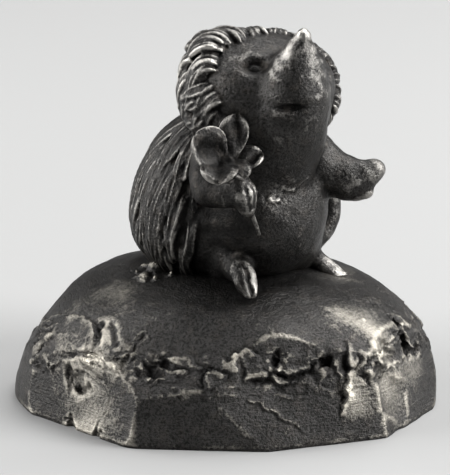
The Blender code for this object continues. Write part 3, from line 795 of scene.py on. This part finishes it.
# Torn ledges, in millimetres: how far the side to the left of the path stands up, how deep the
# other side is cut, how wide each is, and the places that the path runs through
LEDGES = (
    (0.60, 0.70, 0.8, 1.2, (
        (-10.8, -15.4, 7), (-11.5, -14.4, 7.9), (-12.7, -13.5, 8.4), (-14.1, -12.6, 8.4),
        (-15.5, -11.3, 7.6),
    )),
    (0.35, 0.45, 1.4, 0.7, (
        (-13.4, -10.8, 9.4), (-14.2, -8.6, 10.6), (-15.8, -6.4, 10.9), (-17.6, -4.2, 9.8),
    )),
    (0.35, 0.60, 0.8, 0.7, (
        (1.3, -17.1, 6.9), (3.5, -16.6, 7.3), (5.8, -15.4, 7.2), (8, -14.5, 7.4), (10.1, -13.2, 8),
        (11.2, -12.7, 8.8),
    )),
    (0.4, 0.3, 0.9, 0.6, ((3.7, -15.2, 9), (2.8, -15, 9.8), (1.2, -15.6, 9.8), (0.1, -15.8, 8.7))),
    (0.4, 0.3, 0.9, 0.6, ((0.3, -17, 7.2), (-0.7, -16.5, 7.7), (-1.9, -16.5, 7.3), (-2, -17.1, 5.9))),
    (0.14, 0.14, 0.4, 0.4, (
        (1.3, -18.6, 6), (3.4, -18.5, 4.9), (4.7, -18, 4.1), (6.1, -17.9, 3.1), (7.7, -17.7, 2.3),
        (8.5, -17.9, 1.1),
    )),
    (0.40, 0.45, 1.2, 1.3, (
        (12.4, -11.9, 9.3), (12.7, -13.4, 7.6), (12.7, -15, 5.9), (12.6, -15.5, 4.2),
        (11.8, -16.4, 2.5),
    )),
    (0.25, 0.3, 0.7, 0.6, ((17.4, -6.2, 10.6), (18.5, -6.9, 10), (19.4, -7, 7.6), (20.6, -6, 6.4))),
)


# The same four sizes for a guessed ledge
GUESSED_STEP = (0.30, 0.35, 0.9, 0.8)


def guessed_ledges():
    """Short torn ledges on the sides that the photograph doesn't show."""
    dice = random.Random(11)
    for start in range(80, 300, 24):
        turn = start + dice.uniform(-7, 7)
        height = dice.uniform(5.2, 9.2)
        path = []
        for _ in range(4):
            level = bearing(turn if turn <= 180 else turn - 360) * 0.5 * ROCK_WIDTH / MM * 0.9
            path.append((level.x, level.y, height))
            turn += dice.uniform(4, 9)
            height += dice.uniform(-1.3, 1.3)
        yield path if dice.random() < 0.6 else path[::-1]


# Cracks, in millimetres: the width, the depth, the lip below it, and the places it runs through
CRACKS = (
    (0.18, 0.3, 0.05, ((-8.6, -12.4, 10.5), (-9.7, -13.3, 9.2), (-11.1, -14.4, 7.8))),
    (0.4, 0.75, 0, ((-16.4, -10.1, 6), (-16.6, -10.7, 5.1), (-15.7, -12.5, 4.4), (-14.8, -12.9, 4.8))),
    (0.4, 0.45, 0, ((-13.3, -9.2, 10.6), (-13.1, -10.6, 8.8))),
    (0.35, 0.35, 0, ((-11.8, -9.8, 10.5), (-11.5, -12.4, 9.5))),
    (0.12, 0.12, 0.05, (
        (-12.2, -15.1, 4.6), (-12.6, -15.1, 3), (-13.6, -15, 1.4), (-13.8, -14.9, 0.2),
    )),
    (0.16, 0.15, 0.05, ((-7.6, -13.8, 8.9), (-6.2, -14.4, 8.9), (-4.6, -14.9, 9))),
    (0.2, 0.25, 0.1, ((14, 15.2, 4.8), (10.5, 17.2, 4), (7, 18.3, 3.2))),
    (0.2, 0.25, 0.1, ((-18.5, 9.5, 4.5), (-15.5, 13, 4), (-13, 15.2, 2.6))),
)


# How torn the band around the rock is, by bearing from the front
TORN = (
    (-180, 0.9), (-150, 0.35), (-120, 1), (-90, 0.5), (-65, 0.6), (-50, 0.35), (-32, 0.4), (-24, 0.75),
    (10, 0.8), (36, 0.75), (50, 1), (70, 1), (95, 0.4), (125, 1), (150, 0.5), (180, 0.9),
)


def ridged(points, scale, seed):
    """Noise from 0 to about 1 with sharp crests of about that scale."""
    return 1 - np.abs(noise_at(points, scale, seed)) * 1.6


def torn_band(skin):
    """The rough band around the rock between its smooth top and its filed foot: shallow torn
    ledges, with broken plates of metal here and there."""
    points = skin.points
    turn = np.arctan2(points[:, 0], -points[:, 1])
    ring = np.stack([np.sin(turn), -np.cos(turn), 0 * turn], axis=1)
    height = points[:, 2] / MM
    behind = smooth_step(-4.0, 6.0, points[:, 1] / MM)
    middle = 7.2 + (1.1 + 2.0 * behind) * noise_at(ring, 0.31, 3) + 0.6 * noise_at(ring, 0.12, 4)
    half = 2.2 + 0.7 * noise_at(ring, 0.22, 5)
    near = 1 - smooth_step(0.55, 1.15, np.abs(height - middle) / np.maximum(0.7, half))
    warp = np.stack([noise_at(points, 1.5 * MM, s) for s in (7, 8, 9)], axis=1)
    places = points + 0.6 * MM * warp
    flat = places * np.array([1, 1, 1.6])
    torn = 0.6 * ridged(flat, 1.3 * MM, 11) + 0.4 * ridged(flat, 0.6 * MM, 12)
    slope = 1.7 * noise_at(flat, 3.2 * MM, 13) + 0.35 * noise_at(flat, 1.1 * MM, 19)
    plates = slope - np.floor(slope) - 0.5
    patchy = 0.30 + 0.70 * smooth_step(-0.15, 0.25, noise_at(points, 4.0 * MM, 14))
    patchy *= np.interp(np.degrees(turn), *zip(*TORN))
    skin.raise_by(near * patchy * (0.16 * (torn - 0.7) + 0.62 * plates) * MM)


def torn_ledge(skin, path, up, down, up_reach, down_reach):
    """A torn step in the metal: the side to the left of the path stands up, and the other side is
    cut in under it."""
    line = np.array(skin.onto(smooth_path([Vector(p) * MM for p in path], 5 * len(path))))
    reach = 3 * max(up_reach, down_reach) * MM
    start, end = line.min(axis=0) - reach, line.max(axis=0) + reach
    close = np.all((skin.points > start) & (skin.points < end), axis=1)
    points, normals = skin.points[close], skin.normals[close]
    away, which, share = near_line(points, line)
    along = (line[1:] - line[:-1])[which]
    side = np.sign(np.sum((points - line[which]) * np.cross(normals, along), axis=1))
    signed = side * away / MM + 0.30 * noise_at(points, 1.1 * MM, 18)
    signed += 0.14 * noise_at(points, 0.45 * MM, 20)
    ends = smooth_step(0, 0.2, share) * smooth_step(0, 0.2, 1 - share)
    ends *= 0.75 + 0.5 * noise_at(points, 1.6 * MM, 21)
    high = up * np.exp(-((np.maximum(signed, 0) / up_reach) ** 1.5))
    low = -down * np.exp(-((np.maximum(-signed, 0) / down_reach) ** 1.5))
    amounts = np.zeros(len(skin.points))
    amounts[close] = ends * np.where(signed > 0, high, low) * MM
    skin.raise_by(amounts)


def rounded_foot(skin):
    """Rounds the rock's lower edge, as on a casting that was filed flat underneath."""
    height = skin.points[:, 2] / MM
    sideways = 1 - np.abs(skin.normals[:, 2])
    skin.raise_by(-0.16 * MM * sideways * (1 - smooth_step(0.0, 0.5, height)) ** 2)


def rock_details(skin):
    broad = noise_at(skin.points, 6.5 * MM, 12)
    close = noise_at(skin.points, 2.2 * MM, 13)
    fine = noise_at(skin.points, 0.8 * MM, 14)
    skin.raise_by((0.16 * broad + 0.07 * close + 0.025 * fine) * MM)
    rounded_foot(skin)
    torn_band(skin)
    for up, down, up_reach, down_reach, path in LEDGES:
        torn_ledge(skin, path, up, down, up_reach, down_reach)
    for path in guessed_ledges():
        torn_ledge(skin, path, *GUESSED_STEP)
    for place, half_width, half_height, depth, sharp in SCARS:
        sizes = (half_width * MM, half_height * MM, depth * MM)
        skin.dent(np.array(place) * MM, *sizes, sharp, uneven=0.8)
    for width, depth, lip, path in CRACKS:
        line = skin.onto(smooth_path([Vector(p) * MM for p in path], 6 * len(path)))
        jitter = 0.22 * MM * noise_at(skin.points, 0.7 * MM, 15)
        away = np.abs(skin.line_distance(line) + jitter) / (width * MM)
        groove = np.exp(-(away**2))
        ridge = np.exp(-(((away - 2.2) / 0.9) ** 2))
        fade = 0.65 + 0.7 * noise_at(skin.points, 1.0 * MM, 22)
        skin.raise_by(fade * (lip * ridge - depth * groove) * MM)


def rock_mesh():
    clay = bmesh.new()
    rock_dome(clay)
    flat_cuts(clay, SLOPES)
    worn = fused(mesh_of(clay, "rock"), WORN_ROCK_VOXEL, WORN_ROCK_SOFTENING)
    clay = clay_of(worn)
    flat_cuts(clay, FACETS)
    mesh = fused(mesh_of(clay, "rock"), ROCK_VOXEL, ROCK_SOFTENING)
    rock_details(Skin(mesh))
    return mesh


def flat_bottomed(mesh, height):
    clay = clay_of(mesh)
    cut_away(clay, Vector((0, 0, height)), Vector((0, 0, -1)))
    return mesh_of(clay, mesh.name)


# Both castings' finish


def neighbours(mesh):
    edges = np.empty(len(mesh.edges) * 2, np.int64)
    mesh.edges.foreach_get("vertices", edges)
    a, b = edges.reshape(-1, 2).T
    return np.concatenate([a, b]), np.concatenate([b, a])


def softened(values, start, end, rounds):
    """The values, each replaced by the mean of its neighbours that many times."""
    count = np.maximum(1, np.bincount(start, minlength=len(values)))
    for _ in range(rounds):
        if values.ndim == 1:
            values = np.bincount(start, values[end], len(values)) / count
        else:
            values = np.stack([np.bincount(start, v[end], len(v)) / count for v in values.T], axis=1)
    return values


# Fine and broad relief: the rounds of softening that it is read from, and the depth in metres that
# counts in full. Then how much of each shows on the two castings. Fine hollows hold the patina, and
# broad hollows, such as the lap and the spaces between the limbs, are darkened as painted shade.
FINE_RELIEF = (3, 0.000010)
BROAD_RELIEF = (16, 0.00010)
FIGURE_SHARES = (0.42, 0.6)
ROCK_SHARES = (0.18, 0.62)


def relief(mesh, fine_share, broad_share):
    """How hollow each point of an evenly meshed piece lies: above 0 in hollows, below on edges."""
    skin = Skin(mesh)
    start, end = neighbours(mesh)
    depth = np.zeros(len(skin.points))
    for (rounds, step), share in ((FINE_RELIEF, fine_share), (BROAD_RELIEF, broad_share)):
        away = softened(skin.points, start, end, rounds) - skin.points
        depth += share * np.tanh(np.sum(away * skin.normals, axis=1) / step)
    return skin.points, softened(depth, start, end, 1)


def carried(points, values, mesh):
    """The values at the mesh's points, each read from the nearest of the given points."""
    tree = kdtree.KDTree(len(points))
    for i, point in enumerate(points):
        tree.insert(point, i)
    tree.balance()
    return np.array([values[tree.find(vertex.co)[1]] for vertex in mesh.vertices])


def mark_wear_and_painted_light(mesh, depth, patches):
    """Stores the shader's two attributes. The worn one: edges are worn bright, and the patches above 0
    add painted highlights. The dark one: hollows hold the dark patina, broad hollows get painted shade,
    and the patches below 0 add painted shade. A patch is a place, a radius and a strength."""
    points = Skin(mesh).points
    worn = np.clip(-depth - 0.12, 0, 1.2)
    # Dark: the patina in fine hollows, and painted shade in the broad hollows
    patina_and_shade = np.clip(depth - 0.04, 0, 1.2)
    # Each patch paints a highlight where its strength is above 0, and shade where it is below
    for place, radius, strength in patches:
        away = np.linalg.norm(points - np.array(place), axis=1) / radius
        patch = strength * np.exp(-(away**2))
        worn = np.maximum(0, worn + patch)
        patina_and_shade = np.maximum(0, patina_and_shade - patch)
    for name, values in (("worn", worn), ("patina_and_shade", patina_and_shade)):
        layer = mesh.attributes.new(name, "FLOAT", "POINT")
        layer.data.foreach_set("value", values.astype(np.float32))


class Nodes:
    """Short ways to add and join a material's nodes."""

    def __init__(self, name):
        self.material = bpy.data.materials.new(name)
        self.material.use_nodes = True
        self.tree = self.material.node_tree
        self.shader = self.tree.nodes["Principled BSDF"]

    def add(self, kind, settings=None, **inputs):
        node = self.tree.nodes.new(kind)
        for key, value in (settings or {}).items():
            setattr(node, key, value)
        for key, value in inputs.items():
            self.feed(value, node.inputs[key.replace("_", " ")])
        return node

    def feed(self, value, socket):
        if isinstance(value, bpy.types.NodeSocket):
            self.tree.links.new(value, socket)
        else:
            socket.default_value = value

    def math(self, operation, a, b):
        node = self.tree.nodes.new("ShaderNodeMath")
        node.operation = operation
        self.feed(a, node.inputs[0])
        self.feed(b, node.inputs[1])
        return node.outputs[0]

    def attribute(self, name):
        return self.add("ShaderNodeAttribute", {"attribute_name": name}).outputs["Fac"]

    def noise(self, place, scale, detail, rough):
        node = self.add("ShaderNodeTexNoise", Vector=place, Scale=scale, Detail=detail, Roughness=rough)
        return node.outputs["Fac"]

    def span(self, value, low, high, to_low=0.0, to_high=1.0):
        node = self.add("ShaderNodeMapRange", {"clamp": True})
        for socket, item in zip(node.inputs[:5], (value, low, high, to_low, to_high)):
            self.feed(item, socket)
        return node.outputs["Result"]

    def blend(self, share, low, high):
        node = self.add("ShaderNodeMix", {"data_type": "RGBA"})
        self.feed(share, node.inputs[0])
        self.feed(low, node.inputs[6])
        self.feed(high, node.inputs[7])
        return node.outputs[2]


# Pewter's colours, from the hollows to the edges that are worn bright. The darkest also paints shade in
# broad hollows, and the bright ones also paint highlights; the rock's bright colour is warmer.
DARK = (0.010, 0.0097, 0.0094, 1)
PLAIN = (0.058, 0.056, 0.054, 1)
WARM = (0.085, 0.075, 0.065, 1)
BRIGHT = (0.52, 0.50, 0.465, 1)
BRIGHT_ROCK = (0.54, 0.505, 0.435, 1)


def pewter(name, bright, streaked):
    """Antiqued pewter: near black in the hollows, with painted shade in the broad hollows, grey on the
    open surface, worn bright on edges and high places, with painted highlights laid on in patches, and
    with the fine grain of a casting. Streaked pewter has file marks."""
    n = Nodes(name)
    place = n.add("ShaderNodeTexCoord").outputs["Object"]
    worn, patina_and_shade = n.attribute("worn"), n.attribute("patina_and_shade")
    patches = n.noise(place, 170.0, 4.0, 0.6)
    blotches = n.noise(place, 700.0, 4.0, 0.62)
    grain = n.noise(place, 3600.0, 3.0, 0.7)
    # The dark attribute darkens the base colour: patina, and painted shade in broad hollows and dark
    # patches
    dusk = n.math("ADD", patina_and_shade, n.span(patches, 0.35, 0.75, 0.24, -0.10))
    base = n.blend(n.span(dusk, 0.0, 0.8), PLAIN, DARK)
    base = n.blend(n.span(blotches, 0.50, 0.72, 0.0, 0.4), base, WARM)
    base = n.blend(n.span(grain, 0.56, 0.36, 0.0, 0.75), base, DARK)
    calm = n.noise(place, 170.0, 1.5, 0.5)
    # The worn attribute brightens towards the bright colour: real edge wear, and painted highlights in
    # patches
    rubbed_and_highlit = n.math("MULTIPLY", worn, n.span(calm, 0.38, 0.62, 0.5, 1.15))
    rubbed_and_highlit = n.math("ADD", rubbed_and_highlit, n.span(blotches, 0.35, 0.7, -0.04, 0.04))
    rubbed_and_highlit = n.math("ADD", rubbed_and_highlit, n.span(grain, 0.32, 0.70, -0.12, 0.12))
    shine = n.span(rubbed_and_highlit, 0.16, 1.0)
    base = n.blend(shine, base, bright)
    n.feed(base, n.shader.inputs["Base Color"])
    rough = n.math("ADD", n.span(shine, 0.0, 1.0, 0.42, 0.27), n.span(grain, 0.3, 0.7, -0.05, 0.08))
    n.feed(rough, n.shader.inputs["Roughness"])
    n.shader.inputs["Metallic"].default_value = 1.0
    height = n.math("ADD", grain, n.math("MULTIPLY", blotches, 1.2))
    if streaked:
        stretch = n.add("ShaderNodeMapping", Vector=place)
        stretch.inputs["Scale"].default_value = (1.0, 1.0, 14.0)
        stretch.inputs["Rotation"].default_value = (0.10, 0.16, 0.0)
        marks = n.noise(stretch.outputs[0], 420.0, 4.0, 0.7)
        height = n.math("ADD", height, n.math("MULTIPLY", marks, 0.8))
    bump = n.add("ShaderNodeBump", Height=height, Strength=1.0)
    bump.inputs["Distance"].default_value = 0.00012
    n.feed(bump.outputs["Normal"], n.shader.inputs["Normal"])
    return n.material


def drawn_in(mesh):
    """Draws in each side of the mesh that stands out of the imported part's box, a change of about
    a hundredth."""
    points = Skin(mesh).points
    low, high = (np.array(corner) for corner in cad_box)
    seat = np.array((0, 0, points[:, 2].min()))
    away = points - seat
    least, most = away.min(axis=0), away.max(axis=0)
    least_scale = np.minimum(1, (low - seat) / np.minimum(least, -MM))
    most_scale = np.minimum(1, (high - seat) / most)
    points = seat + away * np.where(away < 0, least_scale, most_scale)
    mesh.vertices.foreach_set("co", points.ravel())
    mesh.update()


def make_piece(name, mesh, node, material, patches, shares):
    points, depth = relief(mesh, *shares)
    mesh = reduced(flat_bottomed(mesh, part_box(node)[0][2]), PIECE_TRIANGLES)
    depth = carried(points, depth, mesh)
    drawn_in(mesh)
    mark_wear_and_painted_light(mesh, depth, patches)
    mesh.materials.clear()
    mesh.materials.append(material)
    mesh.polygons.foreach_set("use_smooth", [True] * len(mesh.polygons))
    piece = new_object(name, mesh)
    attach(piece, "root")
    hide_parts(node)


# Painted highlights and painted shade on the hedgehog: the place, the radius and how strongly, in its
# own units. Above 0 a patch paints a highlight, as on the nose, the snout's sides and the belly's fold;
# below 0 it paints shade, as in the eyes, the mouth, the lap, under the right arm and in the flower.
FIGURE_HIGHLIGHTS_AND_SHADE = (
    ((35.8, 0, 95.6), 5, 0.2),
    ((32.6, -7.3, 88.1), 3.6, 0.34),
    ((31.4, -10.6, 81.9), 3.4, 0.2),
    ((38.9, 1.7, 90.3), 3.2, 0.38),
    ((40.8, 2.8, 82.2), 3.2, 0.3),
    ((41.7, 3.1, 76.5), 3.4, 0.16),
    ((38, 12, 72), 7, 0.12),
    ((38, -5, 80), 5, -0.18),
    ((12, -9, 88), 9, 0.2),
    ((27.4, -39, 63), 5, -0.4),
    ((28, -18, 78), 6, 0.1),
    ((22.5, -11.9, 83.2), 4.4, -0.5),
    ((20, -18, 79), 4, -0.2),
    ((31, -8, 24), 12, -0.12),
    ((40, -6, 71), 5, -0.4),
    ((39, 2, 71), 4, -0.3),
    ((-2, -27, 75), 10, 0.2),
    ((29, 36, 38), 4, 0.06),
    ((12, 21, 47), 7, 0.1),
    ((35, -18, 6), 4, 0.32),
    ((34, -25, 6), 4, -0.4),
    ((24, 24, 0), 5, 0.04),
    ((-10, -30, 30), 28, -0.26),
    ((-20, 30, 30), 26, -0.06),
    ((34, -24, 39), 4, 0.12),
    ((34, -8, 37.5), 6.5, 0.42),
    ((14, -26, 30), 9, -0.45),
    ((32, -28, 52), 4, -0.45),
    ((25, -20, 22), 10, -0.5),
    ((22, -32, 40), 10, -0.6),
    ((22, 24, 22), 9, -0.3),
    ((20, -22, 60), 9, -0.34),
    ((30, 0, 52), 10, -0.16),
    ((29, -30, 54), 9, -0.3),
)

# Painted highlights on the rock, in millimetres, where the lamps catch its left facet, its top and its
# right shoulder: the place, the radius and how strongly. The patches below 0 darken it low at the back.
ROCK_HIGHLIGHTS_AND_DARK_PATCHES = (
    ((-17, -12.5, 3.5), 5, 0.42),
    ((-13, -14.5, 3), 4, 0.3),
    ((-17, -9, 8), 3, 0.2),
    ((13.2, -9.8, 10.6), 2.8, 0.6),
    ((16, -10.4, 9.4), 2.2, 0.45),
    ((13.6, -15.2, 6), 1.5, 0.4),
    ((13.6, -15.6, 3.5), 1.5, 0.4),
    ((17.4, -12.5, 4.4), 3.6, 0.42),
    ((20.5, -7, 5), 3, 0.3),
    ((-13, -5, 12.6), 5, 0.34),
    ((0, 20, 3), 12, -0.25),
    ((-18, 9, 3), 8, -0.22),
    ((18, 9, 3), 8, -0.22),
    ((-14.2, -12.6, 8.3), 1.5, 0.4),
    ((-11.4, -14.6, 7.6), 1.2, 0.35),
    ((14, 0, 14), 5, 0.34),
)


# The studio
FLOOR_HALF = 3.0
FLOOR_GREY = (0.30, 0.30, 0.298, 1)
SKY_STRENGTH = 0.09

# The camera: how far it looks down, its distance and target in metres, and its lens in millimetres
CAMERA_RISE = math.radians(17.5)
CAMERA_DISTANCE = 0.32
CAMERA_TARGET = (0, -0.0015, 0.018)
CAMERA_LENS = 223


def make_floor():
    mesh = bpy.data.meshes.new("floor")
    half = FLOOR_HALF
    corners = [(-half, -half, 0), (half, -half, 0), (half, half, 0), (-half, half, 0)]
    mesh.from_pydata(corners, [], [(0, 1, 2, 3)])
    floor = new_object("floor", mesh)
    paper = bpy.data.materials.new("floor_paper")
    paper.use_nodes = True
    shader = paper.node_tree.nodes["Principled BSDF"]
    shader.inputs["Base Color"].default_value = FLOOR_GREY
    shader.inputs["Roughness"].default_value = 0.9
    shader.inputs["Specular IOR Level"].default_value = 0.1
    mesh.materials.append(paper)
    floor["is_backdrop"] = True


def soft_box(name, place, aim, width, height, power):
    """Adds a soft light, with its sizes in metres and its power in watts."""
    lamp = bpy.data.lights.new(name, "AREA")
    lamp.shape = "RECTANGLE"
    lamp.size, lamp.size_y = width, height
    lamp.energy = power
    item = new_object(name, lamp)
    item.location = place
    item.rotation_euler = (Vector(aim) - Vector(place)).to_track_quat("-Z", "Y").to_euler()


def make_light():
    world = bpy.data.worlds.new("studio")
    bpy.context.scene.world = world
    world.use_nodes = True
    sky = world.node_tree.nodes["Background"]
    sky.inputs["Color"].default_value = (1.0, 1.0, 1.0, 1)
    sky.inputs["Strength"].default_value = SKY_STRENGTH
    soft_box("left_box", (-0.42, -0.02, 0.20), (0, 0, 0.02), 0.30, 0.36, 2.8)
    soft_box("right_box", (0.42, -0.10, 0.26), (0, 0, 0.02), 0.26, 0.34, 4.2)
    soft_box("top_box", (0.14, 0.22, 0.58), (0, 0, 0.0), 0.45, 0.34, 4.6)
    soft_box("left_strip", (-0.34, 0.22, 0.22), (0, 0, 0.03), 0.07, 0.36, 0.6)
    soft_box("right_strip", (0.34, 0.20, 0.22), (0, 0, 0.03), 0.07, 0.36, 0.8)


def make_camera():
    camera = new_object("camera", bpy.data.cameras.new("camera"))
    back = Vector((0, -math.cos(CAMERA_RISE), math.sin(CAMERA_RISE)))
    camera.location = Vector(CAMERA_TARGET) + back * CAMERA_DISTANCE
    camera.rotation_euler = (-back).to_track_quat("-Z", "Y").to_euler()
    camera.data.lens = CAMERA_LENS
    camera.data.clip_start = 0.01
    bpy.context.scene.camera = camera


def main():
    make_floor()
    make_light()
    make_camera()
    seat = seat_matrix()
    patches = [(seat @ at(*place), radius * UNIT, strength) for place, radius, strength in FIGURE_HIGHLIGHTS_AND_SHADE]
    finish = pewter("figure_finish", BRIGHT, False)
    mesh = figure_mesh(seat)
    make_piece("pewter_hedgehog", mesh, "hedgehog", finish, patches, FIGURE_SHARES)
    patches = [(Vector(place) * MM, radius * MM, strength) for place, radius, strength in ROCK_HIGHLIGHTS_AND_DARK_PATCHES]
    finish = pewter("rock_finish", BRIGHT_ROCK, True)
    mesh = rock_mesh()
    make_piece("pewter_rock", mesh, "rock_plinth", finish, patches, ROCK_SHARES)
    bpy.context.scene.view_settings.view_transform = "Standard"
    bpy.context.view_layer.update()
    boxes = {"cad": cad_box, "visual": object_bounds()}
    plain = {key: [[float(v) for v in corner] for corner in box] for key, box in boxes.items()}


main()
